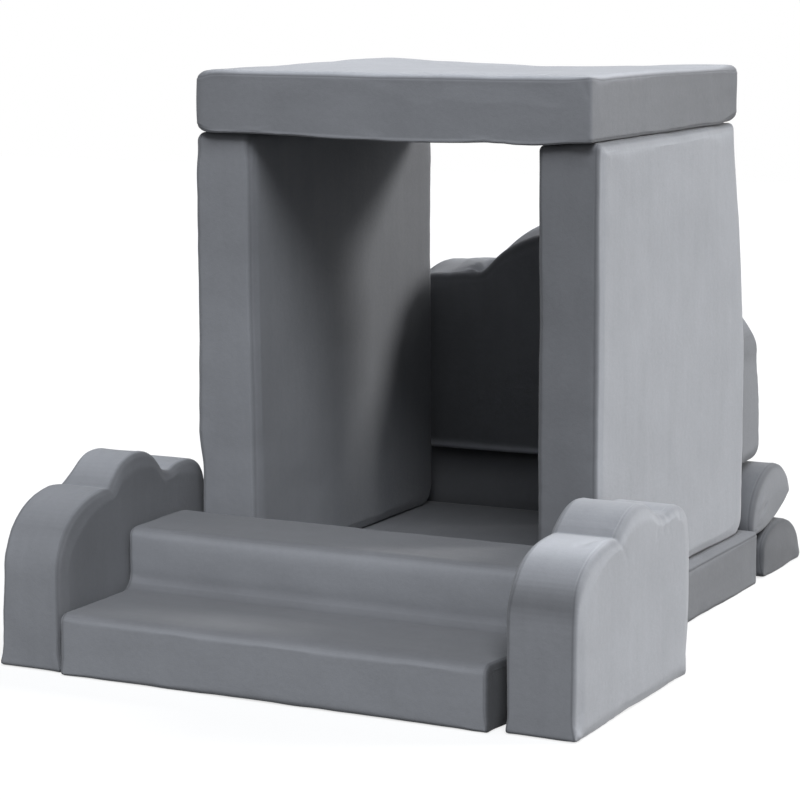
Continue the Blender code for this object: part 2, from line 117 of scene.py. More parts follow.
def lengths(vectors):
    """Length of each vector."""
    return np.linalg.norm(vectors, axis=-1)


def arc(center, radii, start, end, steps=48, power=2.0):
    """Points center + radius (cos a)^(2 / power) and (sin a)^(2 / power), for a from start to end degrees.

    It is an ellipse at power 2, and has a fuller shoulder above that.
    """
    a = np.radians(np.linspace(start, end, steps + 1))
    legs = [np.sign(leg) * np.abs(leg)**(2 / power) for leg in (np.cos(a), np.sin(a))]
    return np.column_stack((center[0] + radii[0] * legs[0], center[1] + radii[1] * legs[1]))


def bow(start, end, rise):
    """Circular arc over a chord that stands out by rise on the right of its way."""
    start, end = np.array(start), np.array(end)
    half = np.linalg.norm(end - start) / 2
    radius = (half**2 + rise**2) / (2 * rise)
    along = (end - start) / (2 * half)
    out = np.array((along[1], -along[0]))
    turn = np.linspace(-1, 1, 49)[:, None] * math.asin(min(1.0, half / radius))
    return (start + end) / 2 + out * (rise - radius) + radius * (np.sin(turn) * along + np.cos(turn) * out)


def corner(before, at, after, radius):
    """Arc of the circle that touches both sides of a corner."""
    before, at, after = (np.array(p, float) for p in (before, at, after))
    a, b = ((p - at) / np.linalg.norm(p - at) for p in (before, after))
    half = math.acos(float(a @ b)) / 2
    middle = at + (a + b) / np.linalg.norm(a + b) * radius / math.sin(half)
    first, last = (at + leg * radius / math.tan(half) - middle for leg in (a, b))
    share, turn = np.linspace(0, 1, 13)[:, None], math.pi - 2 * half
    return middle + (np.sin((1 - share) * turn) * first + np.sin(share * turn) * last) / math.sin(turn)


def rounded(points, radii):
    """Polygon with each corner rounded by its own radius."""
    sides = zip(points[-1:] + points[:-1], points, points[1:] + points[:1], radii)
    return np.vstack([corner(*side) for side in sides])


def slab(width, height, radii=(CORNER_R,) * 4):
    """Rectangle with round corners about the origin, and its four corners."""
    x, y = width / 2, height / 2
    ends = [(-x, -y), (x, -y), (x, y), (-x, y)]
    return rounded(ends, radii), ends


def stair_side():
    """Two steps seen from the side; its ends are the lower nosing, front foot, rear top and upper nosing."""
    nosing, foot, top, upper = (0, STEP_H), (0, 0), (STAIR_D, 2 * STEP_H), (LOWER_TREAD, 2 * STEP_H)
    steps = [foot, (STAIR_D, 0), top, upper, (LOWER_TREAD, STEP_H), nosing]
    return rounded(steps, (FOOT_R, FOOT_R, CORNER_R, NOSING_R, INNER_R, NOSING_R)), [nosing, foot, top, upper]


def bridged(shape, valley, reach, depth=0.35):
    """Outline whose valley is spanned by taut cloth: a parabola between the points at reach on both sides.

    Its control point lies at the share depth of the way from the middle of that span to the valley.
    """
    off = lengths(shape - valley)
    inside = np.flatnonzero(off < reach)
    first, last = shape[inside[0] - 1], shape[inside[-1] + 1]
    control = (first + last) / 2 * (1 - depth) + np.array(valley) * depth
    t = np.linspace(0, 1, 13)[1:-1, None]
    span = (1 - t)**2 * first + 2 * t * (1 - t) * control + t**2 * last
    return np.vstack((shape[:inside[0]], span, shape[inside[-1] + 1:]))


def arm_side(front_power, rear_power, rear_reach):
    """Cloud with a quarter-round front lobe, a bowed middle lobe and a round rear lobe.

    The powers make the outer shoulders of the front and rear lobe fuller than an ellipse, and
    rear_reach is how far the cloth spans the rear valley.
    """
    rear_c = (ARM_L - ARM_REAR_R, ARM_REAR_TOP - ARM_REAR_R)
    rear_end = 90 + math.degrees(math.asin((ARM_REAR_LOBE - ARM_REAR_R) / ARM_REAR_R))
    shoulder = arc(rear_c, (ARM_REAR_R, ARM_REAR_R), 0, 90, power=rear_power)
    rear = np.vstack((shoulder, arc(rear_c, (ARM_REAR_R, ARM_REAR_R), 90, rear_end, 24)[1:]))
    valley = (ARM_FRONT_LOBE, ARM_FRONT_TOP)
    middle = bow(rear[-1], valley, ARM_MIDDLE_TOP - (valley[1] + rear[-1][1]) / 2)
    front = arc((ARM_FRONT_LOBE, ARM_FRONT_SIDE), (ARM_FRONT_LOBE, ARM_FRONT_TOP - ARM_FRONT_SIDE), 90, 180,
                power=front_power)
    first = corner(front[-1], (0, 0), (ARM_L, 0), FOOT_R)
    last = corner((0, 0), (ARM_L, 0), rear[0], FOOT_R)
    shape = bridged(np.vstack((first, last, rear, middle[1:], front[1:])), rear[-1], rear_reach)
    return shape, [(0, 0), (ARM_L, 0), shoulder[30], front[24]]


def backrest_side():
    """Cloud with two side lobes, the left one with a squarer shoulder, and a higher bowed middle lobe."""
    x = BACKREST_W / 2
    shoulder = np.array((x - BACKREST_SIDE_R, BACKREST_SIDE_TOP))
    valley = np.array((BACKREST_VALLEY / 2, BACKREST_SIDE_TOP))
    turn, square = (arc(shoulder - (0, BACKREST_SIDE_R), (BACKREST_SIDE_R,) * 2, 0, 90, power=power)
                    for power in (2.0, 2.9))
    right = np.vstack((turn, bow(shoulder, valley, BACKREST_SIDE_BOW)[1:]))
    left = np.vstack((square, right[len(turn):]))[::-1] * (-1, 1)
    middle = bow(valley, left[0], BACKREST_TOP - valley[1])
    last = corner((-x, 0), (x, 0), right[0], BACKREST_FOOT_R)
    first = corner((-x, 0), (x, 0), right[0], SOFT_CORNER_R)[::-1] * (-1, 1)
    shape = np.vstack((first, last, right, middle[1:], left[1:]))
    for side in (1, -1):
        shape = bridged(shape, valley * (side, 1), 0.010)
    return shape, [(-x, 0), (x, 0), turn[24], square[24] * (-1, 1)]


def bolster_side(front_side, crest, belly):
    """Half-round seen from its end, with soft lower edges; belly is how far its flat side swells."""
    x = BOLSTER_W / 2
    rear = arc((-crest, BOLSTER_SIDE), (x + crest, BOLSTER_H - BOLSTER_SIDE), 0, 90)
    front = arc((-crest, front_side), (x - crest, BOLSTER_H - front_side), 90, 180)
    ends = (BOLSTER_SIDE - x, 0), (x - BOLSTER_SIDE, 0)
    foot = bow(*ends, belly) if belly else np.array(ends)
    last = corner((0, 0), (x, 0), rear[0], BOLSTER_SIDE)
    first = last[::-1] * (-1, 1)
    shape = np.vstack((foot, last[1:], rear, front, first[:-1]))
    return shape, [first[6], last[6], rear[26], front[22]]


# Cages

def steps_round(ring):
    """Step from each point of a closed ring to the next."""
    return np.roll(ring, -1, axis=0) - ring


def quads_of(grid):
    """Quads between the neighbouring rows and columns of a grid of vertex numbers."""
    return np.stack((grid[:-1, :-1], grid[:-1, 1:], grid[1:, 1:], grid[1:, :-1]), axis=-1).reshape(-1, 4)


def dense(shape):
    """Closed outline with points at most two millimetres apart and no point twice."""
    shape = shape[lengths(steps_round(shape)) > 1e-6]
    step = steps_round(shape)
    counts = np.maximum(1, np.ceil(lengths(step) / 0.002)).astype(int)
    owner = np.repeat(np.arange(len(shape)), counts)
    share = (np.arange(len(owner)) - np.repeat(np.cumsum(counts) - counts, counts)) / counts[owner]
    return shape[owner] + step[owner] * share[:, None]


def spaced_ring(shape, ends, cage, near=None):
    """Outline cut into four chains at its ends, with the points closer where it bends.

    The running measure of a chain is its length plus CAGE_BEND for each radian that it turns, with
    more again beside the point near; each chain takes points at equal steps of that measure.
    Returns the ring, and the counts along its first and third and its second and fourth chain.
    """
    loop = dense(shape)
    cuts = [int(np.argmin(lengths(loop - end))) for end in ends]
    loop = np.roll(loop, -cuts[0], axis=0)
    cuts = [(c - cuts[0]) % len(loop) for c in cuts] + [len(loop)]
    loop = np.vstack((loop, loop[:1]))
    step = np.diff(loop, axis=0)
    length = lengths(step)
    heading = np.arctan2(step[:, 1], step[:, 0])
    bend = np.abs((heading - np.roll(heading, 1) + math.pi) % (2 * math.pi) - math.pi)
    weight = length + CAGE_BEND * (bend + np.roll(bend, -1)) / 2
    if near is not None:
        off = lengths(loop[:-1] + step / 2 - near)
        weight = weight + length * 3 * np.exp(-(off / 0.011)**4)
    run = np.concatenate(([0], np.cumsum(weight)))
    spans = np.diff(run[cuts])
    n, m = (int(round(max(spans[k], spans[k + 2]) / cage)) for k in (0, 1))
    wanted = np.concatenate([
        np.linspace(run[cuts[k]], run[cuts[k + 1]], count + 1)[:-1] for k, count in enumerate((n, m, n, m))])
    return np.column_stack([np.interp(wanted, run, loop[:, k]) for k in (0, 1)]), n, m


def outward(ring):
    """Unit normals of a counter-clockwise ring, across the chord of each point's neighbours."""
    chord = np.roll(ring, -1, axis=0) - np.roll(ring, 1, axis=0)
    return np.column_stack((chord[:, 1], -chord[:, 0])) / lengths(chord)[:, None]


def from_edge(points, ring):
    """Distance of each point from a ring, and the running length of the ring's nearest point."""
    step = steps_round(ring)
    length = lengths(step)
    run = np.cumsum(length) - length
    best, place = np.full(len(points), np.inf), np.zeros(len(points))
    for part in np.array_split(np.arange(len(points)), max(1, len(points) // 4000)):
        rel = points[part, None] - ring[None]
        share = np.clip(np.sum(rel * step, axis=2) / length**2, 0, 1)
        off = lengths(rel - share[..., None] * step)
        k = np.argmin(off, axis=1)
        rows = np.arange(len(part))
        best[part] = off[rows, k]
        place[part] = run[k] + share[rows, k] * length[k]
    return best, place


def four_sides(loop, n, m):
    """Bottom, right, top and left side of a closed loop; the top runs to the right and the left one up."""
    return loop[:n + 1], loop[n:n + m + 1], loop[n + m:2 * n + m + 1][::-1], loop[2 * n + m:][::-1]


def cap_numbers(ring_first, n, m, inner_first):
    """Grid of vertex numbers of a cap: its border is the last ring's, and its inside is new."""
    count = 2 * (n + m)
    border = ring_first + np.arange(count + 1) % count
    grid = np.empty((m + 1, n + 1), int)
    grid[0], grid[:, n], grid[m], grid[:, 0] = four_sides(border, n, m)
    grid[1:-1, 1:-1] = inner_first + np.arange((m - 1) * (n - 1)).reshape(m - 1, n - 1)
    return grid


def coons(ring, n, m):
    """Patch (1-v) bottom + v top + (1-u) left + u right - the corners' bilinear blend, inside only."""
    low, right, high, left = four_sides(np.vstack((ring, ring[:1])), n, m)
    u = np.linspace(0, 1, n + 1)[None, :, None]
    v = np.linspace(0, 1, m + 1)[:, None, None]
    patch = (1 - v) * low[None] + v * high[None] + (1 - u) * left[:, None] + u * right[:, None]
    patch -= (1 - v) * ((1 - u) * low[0] + u * low[-1]) + v * ((1 - u) * high[0] + u * high[-1])
    return patch[1:-1, 1:-1].reshape(-1, 2)


def padded_cage(spec):
    """Closed quad cage of a padded block: a cap, a quarter-round roll, the strip, a roll and a cap.

    Row by row: on a roll of radius r at angle x the outline is inset by r (1 - cos x) and lies
    r (1 - sin x) under the cap's rim; a cap rises from its rim by its crown times
    1 - (1 - d / reach)^2, where d is the distance from the rim. Returns points, faces and, for each
    point, how far it lies from the nearest seam: positive on the caps, negative on the strip.
    """
    ring, n, m = spec["ring"]
    half, crown = spec["high"][2], spec["crown"]
    normal, heart = outward(ring), np.array(spec["heart"])
    count = len(ring)

    def side_rows(roll, rise):
        rim = ring - normal * roll[:, None]
        to_heart = (heart - rim) / lengths(heart - rim)[:, None]
        rim_at = roll * (math.pi / 2 - SEAM_TURN)
        rows = []
        for w in CAP_ROWS[::-1]:
            lift = rise * (1 - (1 - w / CROWN_REACH)**2)
            rows.append((rim + to_heart * w, np.full(count, half - rise + lift), rim_at + w))
        for g in [rim_at] + [row * roll / ROLL for row in SEAM_ROWS] + [-roll * SEAM_TURN]:
            turn = SEAM_TURN + g / roll
            inset, depth = roll * (1 - np.cos(turn)), roll * (1 - np.sin(turn))
            rows.append((ring - normal * inset[:, None], half - rise - depth, g))
        return rows

    low = [(p, -h, g) for p, h, g in side_rows(spec["rolls"][0], crown[0])]
    high = side_rows(spec["rolls"][1], crown[1])
    start, end = low[-1][1], high[-1][1]
    first, last = start.mean(), end.mean()
    heights = np.linspace(first, last, max(2, int(round((last - first) / spec["cage"]))) + 1)[1:-1]
    heights = np.concatenate(((first + 0.0016, first + 0.0045), heights, (last - 0.0045, last - 0.0016)))
    if spec["zip"] == ROUND:
        kept = heights[np.abs(heights) > 0.015]
        heights = np.sort(np.concatenate((kept, (-0.0100, -0.0066, -0.0035, 0.0035, 0.0066, 0.0100))))
    strip = []
    for share in (heights - first) / (last - first):
        h = start + (end - start) * share
        strip.append((ring, h, np.where(share < 0.5, low[-1][2] - (h - start), high[-1][2] - (end - h))))
    rows = low + strip + high[::-1]

    points = [np.column_stack((p, h)) for p, h, g in rows]
    across = [g for p, h, g in rows]
    total = len(rows) * count
    numbers = np.arange(total).reshape(len(rows), count)
    faces = [quads_of(np.pad(numbers, ((0, 0), (0, 1)), "wrap"))]
    for row, side in ((0, 0), (len(rows) - 1, 1)):
        roll, rise = spec["rolls"][side], crown[side]
        rim = ring - normal * roll[:, None]
        inside = coons(rows[row][0], n, m)
        off, place = from_edge(inside, rim)
        lift = rise * (1 - (1 - np.clip(off / CROWN_REACH, 0, 1))**2)
        points.append(np.column_stack((inside, (-1, 1)[side] * (half - rise + lift))))
        run = np.cumsum(lengths(steps_round(rim)))
        nearest = np.clip(np.searchsorted(run, place), 0, count - 1)
        across.append(roll[nearest] * (math.pi / 2 - SEAM_TURN) + off)
        quads = quads_of(cap_numbers(row * count, n, m, total))
        total += len(inside)
        faces.append(quads if side else quads[:, ::-1])
    return np.vstack(points), np.vstack(faces), np.concatenate(across)


def stand(data, matrix=Matrix()):
    """Object for a mesh, lamp or camera, at the place and turn that the matrix gives."""
    holder = bpy.data.objects.new(data.name, data)
    bpy.context.scene.collection.objects.link(holder)
    holder.matrix_world = matrix
    return holder


def make_mesh(name, points, faces):
    """Mesh object from arrays of points and faces, smooth shaded."""
    mesh = bpy.data.meshes.new(name)
    mesh.from_pydata(points.tolist(), [], faces.tolist())
    mesh.shade_smooth()
    return stand(mesh)


def store(mesh, name, values):
    """Named value at each point of a mesh."""
    mesh.attributes.new(name, "FLOAT", "POINT").data.foreach_set("value", values.astype(np.float32))


def move_to(mesh, points):
    """Put a mesh's points at new places."""
    mesh.vertices.foreach_set("co", points.astype(np.float32).ravel())


def read(items, key, width, kind=np.float32):
    """Array of one property of all items, a row for each; width is how many numbers it has."""
    out = np.empty(len(items) * width, kind)
    items.foreach_get(key, out)
    return out.reshape(-1, width)


def coordinates(mesh):
    """Array of a mesh's points."""
    return read(mesh.vertices, "co", 3).astype(float)


def limited(points, spec):
    """Points kept inside the local box of the CAD cover, so that neighbours stay clear."""
    return np.clip(points, spec["low"], spec["high"])


def puff(pieces):
    """Cloth simulation of all the cages at once; each point's move m becomes fullness cap tanh(m / cap).

    Gravity and collisions are off, because the cage already has the module's shape and place.
    """
    scene = bpy.context.scene
    scene.frame_start, scene.frame_end = 1, CLOTH_FRAMES
    for piece, _ in pieces:
        cloth = piece.modifiers.new("puff", "CLOTH")
        for key, value in CLOTH.items():
            setattr(cloth.settings, key, value)
        cloth.settings.effector_weights.gravity = 0
        cloth.collision_settings.use_collision = False
        cloth.point_cache.frame_end = CLOTH_FRAMES
    for number in range(1, CLOTH_FRAMES + 1):
        scene.frame_set(number)
    graph = bpy.context.evaluated_depsgraph_get()
    for piece, spec in pieces:
        before = coordinates(piece.data)
        move = coordinates(piece.evaluated_get(graph).data) - before
        size = lengths(move)[:, None] + 1e-9
        after = before + move * (spec["fullness"] * CLOTH_CAP * np.tanh(size / CLOTH_CAP) / size)
        piece.modifiers.clear()
        move_to(piece.data, limited(after, spec))
    scene.frame_set(1)


def refine(piece):
    """One level of subdivision, applied."""
    piece.modifiers.new("finer", "SUBSURF").levels = 1
    graph = bpy.context.evaluated_depsgraph_get()
    mesh = bpy.data.meshes.new_from_object(piece.evaluated_get(graph))
    piece.modifiers.clear()
    piece.data = mesh


# Seams, puckers and folds

def wander(seed, places, scale, octaves):
    """Smooth noise in -1..1: plane waves of seeded direction and phase, each octave finer and weaker."""
    rng = np.random.default_rng(seed)
    total, weight = np.zeros(len(places)), 0.0
    for k in range(octaves):
        for _ in range(3):
            way = rng.normal(size=places.shape[1])
            way *= 2 * math.pi / (scale / 1.7**k) / np.linalg.norm(way)
            total += np.sin(places @ way + rng.uniform(0, 2 * math.pi)) / 1.5**k
            weight += 0.55 / 1.5**k
    return total / weight


def fold(points, line):
    """Ridge or groove along a line of FOLDS: its height times bell(off, width), tapering at both ends."""
    start, end, (width, height) = np.split(0.001 * np.array(line), (3, 6))
    way = end - start
    share = np.clip((points - start) @ way / (way @ way), 0, 1)
    off = lengths(points - (start + share[:, None] * way))
    taper = np.clip(np.sin(share * math.pi), 0, 1)**0.5
    return height * bell(off, width) * (0.15 + 0.85 * taper)


def nearest_place(s, spec):
    """Number of the ring's point that is nearest to each place s along the outline."""
    return np.argmin(np.abs(s[:, None] - spec["run"][None]), axis=1)


def dress(piece, spec):
    """Seam grooves with their lips, puckers beside them, slack in the cloth, folds and the zip's bed.

    A point moves along its normal by a height that depends on its distance g from the seam and its
    place s along the outline. The edge then bulges outwards, and the zip's bed presses points down.
    Returns s, g and the points.
    """
    mesh = piece.data
    local = coordinates(mesh)
    normal = read(mesh.vertex_normals, "vector", 3).astype(float)
    g = read(mesh.attributes["across"].data, "value", 1)[:, 0]
    ring = spec["ring"][0]
    s = from_edge(local[:, :2], ring)[1]
    seed = spec["seed"]
    lane = np.column_stack((s, SEAM_APART * np.sign(local[:, 2])))
    height = -GROOVE * bell(g, 0.0011) + LIP * bell(np.abs(g) - 0.0034, 0.0024)
    strength = 0.45 + 0.55 * wander(seed, lane, 0.30, 2)
    pucker = wander(seed + 1, lane, 0.034, 2) * np.exp(-np.abs(g) / 0.009) * np.clip(strength, 0.1, 1)
    height += PUCKER * pucker
    height += SLACK * wander(seed + 2, local, 0.17, 3)
    for line in spec["folds"]:
        height += fold(local, line)
    local = local + normal * height[:, None]
    bulge = BULGE * wander(seed + 3, lane, 0.22, 3) * bell(g, 0.012)
    local[:, :2] += outward(ring)[nearest_place(s, spec)] * bulge[:, None]
    local = limited(local, spec)

    seat, along, up = spec["seat"]
    across = np.cross(up, along)
    rel = local - seat
    x, y, z = rel @ along, rel @ across, rel @ up
    near = (np.abs(x) < spec["zip_l"] / 2 + ZIP_END) & (np.abs(z) < 0.012)
    ramp = np.clip((np.abs(y) - ZIP_HALF) / 0.003, 0, 1)
    top = np.where(near, -ZIP_DIP * (1 - ramp) + 0.004 * ramp, np.inf)
    local += up * np.minimum(0, top - z)[:, None]
    move_to(mesh, local)
    return s, g, local


def lay_grain(piece, spec, s, g, local):
    """UV map along the nap, in metres, and the tone at each point: painted light and shade, with some of the
    nap's own difference between strip and caps.

    On the strip u is the running length of the outline and v the thickness, or the other way round
    where the zip goes across it; on a cap u is up the panel and v across it. The strip's tone is
    painted light, lighter where it faces up as if lit from above. The roll and the shoulder above it
    get painted shade that holds down their highlight, and the roll's tone blends into the cap's.
    """
    mesh = piece.data
    quads = read(mesh.loops, "vertex_index", 1, np.int32).reshape(-1, 4)
    on_cap = g[quads].mean(axis=1) > 0
    ring = spec["ring"][0]
    total = spec["run"][-1] + np.linalg.norm(ring[0] - ring[-1])
    u = s[quads]
    wraps = (u.max(axis=1) - u.min(axis=1) > total / 2)[:, None]
    u = np.where(wraps & (u < total / 2), u + total, u)
    cap_uv = local[quads][..., 1::-1]
    strip_uv = np.stack((u, local[quads, 2]), axis=-1)
    if spec["zip"] == OVER:
        strip_uv = strip_uv[..., ::-1]
    uv = np.where(on_cap[:, None, None], cap_uv + 3.0, strip_uv)
    mesh.uv_layers.new(name="nap").data.foreach_set("uv", uv.astype(np.float32).ravel())
    nearest = nearest_place(s, spec)
    up = outward(ring)[nearest, 1]
    # Painted light and shade: each strip's and cap's tone, with lighter tops and darker inner faces
    strip = np.interp(up, *zip(*spec["strip_tones"]))
    cap = np.where(local[:, 2] > 0, *spec["cap_tones"][::-1])
    over = smooth(g, -0.001, spec["blend"] * spec["rolls"][0][nearest])
    # Painted shade on the roll, and below it on the shoulder, against their highlight
    tone = (strip + (cap - strip) * over) * (1 - 4 * spec["roll_shade"] * over * (1 - over))
    tone *= 1 - SHOULDER_SHADE * np.clip(up, 0, 1) * bell(g - 0.010, 0.009)
    # Each module's own painted shade and painted highlights
    if spec["shade"]:
        tone *= spec["shade"](local)
    store(mesh, "tone", tone)
    store(mesh, "seam", spec["stitch"] * bell(g, 0.0016) * (1 - spec["seam_fade"] * np.clip(up, 0, 1)))


def put(piece, spec):
    """Let a cover settle, and carry the piece from its local axes to its place in the part."""
    local = coordinates(piece.data)
    if spec["settle"] and piece.name.endswith("_suede"):
        local = spec["settle"](local)
    move_to(piece.data, local @ spec["axes"] + spec["origin"])
    piece.data.update()


def placket(spec):
    """Stitched rim of the zip's opening: a flat oval rod carried round a stadium path, closed on itself.

    The path runs midway between the placket's inner and outer edge and turns half circles at its ends;
    the profile is (width cos x, height sin x) with a row of small tucks along it.
    """
    radius = (PLACKET_IN + PLACKET_OUT) / 2
    reach = spec["zip_l"] / 2 - ZIP_END
    straight = np.linspace(-reach, reach, int(2 * reach / 0.004) + 1)
    turn = np.radians(np.linspace(-90, 90, 13))[1:-1]
    path = np.vstack((
        np.column_stack((straight, np.full(len(straight), -radius))),
        np.column_stack((reach + radius * np.cos(turn), radius * np.sin(turn)))))
    path = np.vstack((path, -path))
    side = outward(path)
    around = np.linspace(0, 2 * math.pi, 12, endpoint=False)
    wide = (PLACKET_OUT - PLACKET_IN) / 2 * np.cos(around)
    tall = 0.0017 * np.sin(around) - 0.0004
    tuck = 0.00025 * np.sin(np.arange(len(path)) * 2.1)
    flat = path[:, None] + side[:, None] * wide[None, :, None]
    lift = tall[None] + tuck[:, None] * (np.sin(around) > 0.3)[None]
    seat, along, up = spec["seat"]
    points = seat + flat[..., :1] * along + flat[..., 1:] * np.cross(up, along) + lift[..., None] * up
    numbers = np.arange(lift.size).reshape(lift.shape)
    faces = quads_of(np.pad(numbers, ((0, 1), (0, 1)), "wrap").T)
    piece = make_mesh(spec["name"] + "_zip_placket", points.reshape(-1, 3), faces)
    put(piece, spec)
    return piece


# Materials

def fill(tree, node, inputs):
    """Set a node's inputs; a value that is another node's socket is linked."""
    for key, value in inputs.items():
        if isinstance(value, bpy.types.NodeSocket):
            tree.links.new(value, node.inputs[key])
        else:
            node.inputs[key].default_value = value


def nodes_of(tree):
    """Two shorthands: add puts a node in with its inputs and settings, calc gives a math node's result."""
    def add(kind, inputs=None, **settings):
        node = tree.nodes.new(kind)
        for key, value in settings.items():
            setattr(node, key, value)
        fill(tree, node, inputs or {})
        return node

    def calc(operation, *values):
        return add("ShaderNodeMath", dict(enumerate(values)), operation=operation).outputs[0]
    return add, calc


def nap_group():
    """Node group of brushed nap: soft smudges and long strokes in the colour, the painted light and shade of
    its tone input, and the fibres' height.
    """
    tree = bpy.data.node_groups.new("brushed_nap", "ShaderNodeTree")
    taken = ("Color", "Color"), ("Along", "Vector"), ("Place", "Vector"), ("Tone", "Float"), ("Seam", "Float")
    made = ("Color", "Color"), ("Roughness", "Float"), ("Height", "Float")
    for way, sockets in (("INPUT", taken), ("OUTPUT", made)):
        for label, kind in sockets:
            tree.interface.new_socket(label, in_out=way, socket_type="NodeSocket" + kind)
    add, calc = nodes_of(tree)
    given = add("NodeGroupInput").outputs

    def noise(place, scale, detail, rough):
        inputs = {"Vector": place, "Scale": scale, "Detail": detail, "Roughness": rough}
        return add("ShaderNodeTexNoise", inputs).outputs[0]

    stretched = add("ShaderNodeMapping", {"Vector": given["Along"], "Scale": (5.0, 42.0, 1.0)}).outputs[0]
    strokes = noise(stretched, 1.0, 5.0, 0.6)
    smudges = noise(given["Place"], 7.0, 5.0, 0.55)
    pile = noise(given["Place"], 110.0, 4.0, 0.7)
    fibres = noise(given["Place"], 900.0, 3.0, 0.7)
    shade = 1.0
    for texture, amount in ((strokes, 0.12), (smudges, 0.26), (pile, 0.12), (fibres, 0.12)):
        shade = calc("MULTIPLY_ADD", calc("SUBTRACT", texture, 0.5), amount, shade)
    sunk = calc("MULTIPLY_ADD", given["Seam"], -0.28, 1.0)
    # The tone input multiplies painted light and shade into the colour
    shade = calc("MULTIPLY", calc("MULTIPLY", shade, given["Tone"]), sunk)
    color = add("ShaderNodeVectorMath", {0: given["Color"], "Scale": shade}, operation="SCALE")
    add("NodeGroupOutput", {
        "Color": color.outputs[0], "Roughness": calc("MULTIPLY_ADD", smudges, 0.12, 0.80),
        "Height": calc("MULTIPLY_ADD", fibres, 0.35, pile)})
    return tree


def shaded(name, look):
    """New material; look(add, calc) gives the inputs of its Principled shader."""
    material = bpy.data.materials.new(name)
    material.use_nodes = True
    tree = material.node_tree
    fill(tree, tree.nodes["Principled BSDF"], look(*nodes_of(tree)))
    return material


def suede(name, color):
    """Brushed suede: nap in its colour, fibre bump and a soft sheen at grazing view."""
    def look(add, calc):
        nap = add("ShaderNodeGroup", {
            "Color": (*color, 1), "Along": add("ShaderNodeUVMap", uv_map="nap").outputs[0],
            "Place": add("ShaderNodeTexCoord").outputs["Object"],
            # The tone attribute is painted light and shade
            "Tone": add("ShaderNodeAttribute", attribute_name="tone").outputs["Fac"],
            "Seam": add("ShaderNodeAttribute", attribute_name="seam").outputs["Fac"]}, node_tree=NAP).outputs
        bump = add("ShaderNodeBump", {"Height": nap["Height"], "Strength": 0.35, "Distance": 0.0012})
        return {"Base Color": nap["Color"], "Roughness": nap["Roughness"], "Normal": bump.outputs[0],
                "Specular IOR Level": 0.12, "Sheen Weight": 0.15, "Sheen Roughness": 0.45}
    return shaded(name, look)


def plain(name, color, roughness, metallic, scale, depth):
    """Small hardware and tape: fine grain in the colour, the roughness and the bump."""
    def look(add, calc):
        place = add("ShaderNodeTexCoord").outputs["Object"]
        grain = add("ShaderNodeTexNoise", {"Vector": place, "Scale": scale, "Detail": 3.0}).outputs[0]
        dark, light = ((*[min(1, c * share) for c in color], 1) for share in (0.75, 1.25))
        mixed = add("ShaderNodeMix", {"Factor": grain, 6: dark, 7: light}, data_type="RGBA")
        bump = add("ShaderNodeBump", {"Height": grain, "Strength": 0.4, "Distance": depth})
        return {"Base Color": mixed.outputs[2], "Normal": bump.outputs[0], "Metallic": metallic,
                "Roughness": calc("MULTIPLY_ADD", grain, 0.2, roughness - 0.1)}
    return shaded(name, look)


NAP = nap_group()
GREY_SUEDE = suede("grey_suede", (0.388, 0.398, 0.425))
PLACKET_SUEDE = plain("placket_suede", (0.23, 0.235, 0.25), 0.85, 0.0, 260.0, 0.0006)
ZIP_TAPE = plain("zip_tape", (0.09, 0.095, 0.105), 0.7, 0.0, 1400.0, 0.0004)
ZIP_METAL = plain("zip_metal", (0.30, 0.31, 0.33), 0.35, 1.0, 900.0, 0.0001)


# Radii of the rolls, painted light and shade in the covers' colour, and how the covers settle: each
# number is a share, or a place or size in metres along the module's a, b and t

def flat_rolls(low, high):
    """The same radius all round, for the lower and the upper roll."""
    return lambda ring: (np.full(len(ring), low), np.full(len(ring), high))


def foot_rolls(foot, side, top, top_from=0.18):
    """Rolls of an upright outline: small at the foot, which the weight flattens, and top above top_from."""
    def radii(ring):
        b = ring[:, 1] - ring[:, 1].min()
        above = smooth(b, top_from, top_from + 0.05)
        radius = foot + (side - foot) * smooth(b, 0.004, 0.030) + (top - side) * above
        return radius, radius
    return radii


def roof_rolls(ring):
    """Radius of the roof's lower and upper roll at each point: larger at its ends, most at the right rear.

    At the sharp right front corner the upper roll is smaller than that corner's own radius.
    """
    a, b = ring.T
    sharp = bell(np.hypot(a - ROOF_W / 2, b + ROOF_D / 2), 0.030)
    left, right = smooth(-a, 0.315, 0.345), smooth(a, 0.30, 0.345)
    rear = smooth(b, 0.22, 0.315)
    low = 0.0055 + 0.0095 * left + 0.0145 * right * rear
    return low, 0.0100 + 0.0070 * left + 0.0040 * right * rear - 0.0040 * sharp


def stair_painted_shade(local):
    """Painted shade in the crook of the riser, towards it and on the right half; a painted highlight on the
    riser.
    """
    a, b, t = local.T
    crook = bell(np.hypot(a - LOWER_TREAD + 0.004, b - STEP_H - 0.004), 0.024)
    back = smooth(a, 0.02, LOWER_TREAD) * (b < STEP_H + 0.01)
    back = back + smooth(a, LOWER_TREAD + 0.02, 0.36) * (b > 1.9 * STEP_H)
    riser = smooth(b, STEP_H + 0.02, STEP_H + 0.05) * smooth(-b, -1.96 * STEP_H, -1.8 * STEP_H)
    right = smooth(t, -0.05, 0.30)
    return (1 - 0.10 * crook) * (1 - 0.08 * back) * (1 + 0.02 * riser) * (1 - 0.05 * right)


def backrest_painted_light(local):
    """A painted highlight on the front's lower edge, and painted shade on the top's right half."""
    a, b, t = local.T
    painted_lip_highlight = 1.7 * bell(b - 0.008, 0.008) * smooth(t, 0.02, 0.04)
    top = smooth(b, 0.20, 0.30) * smooth(np.abs(t), 0.054, 0.044)
    return (1 + painted_lip_highlight) * (1 - 0.50 * top * smooth(a, -0.06, 0.12))


